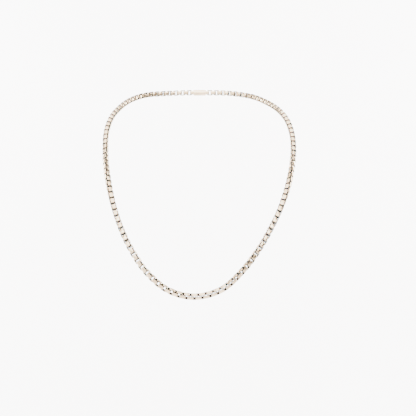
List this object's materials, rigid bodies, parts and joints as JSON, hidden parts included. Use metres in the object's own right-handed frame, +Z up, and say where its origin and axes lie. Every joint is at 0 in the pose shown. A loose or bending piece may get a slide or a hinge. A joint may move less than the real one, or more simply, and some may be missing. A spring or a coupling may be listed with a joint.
{
  "type": "box chain necklace",
  "caption": "Silver box chain necklace: square links of flat strip, each a quarter turn round from the last, hang in a long worn loop that a plain barrel clasp closes at the nape.",
  "frame": {"origin": "the spot on the nape where the clasp rests, on the clasp's neck side", "axes": "+Z up, -Y the way the wearer faces, +X to the right of someone who faces the wearer"},
  "size_m": [0.172, 0.1901, 0.1896],
  "materials": {
    "chain_silver": "polished sterling silver, softly worn, with a little tarnish in the corners",
    "clasp_silver": "polished sterling silver with fine hairline scratches"
  },
  "bodies": {
    "root": {"chain": "chain_silver", "clasp": "clasp_silver"}
  },
  "joints": []
}
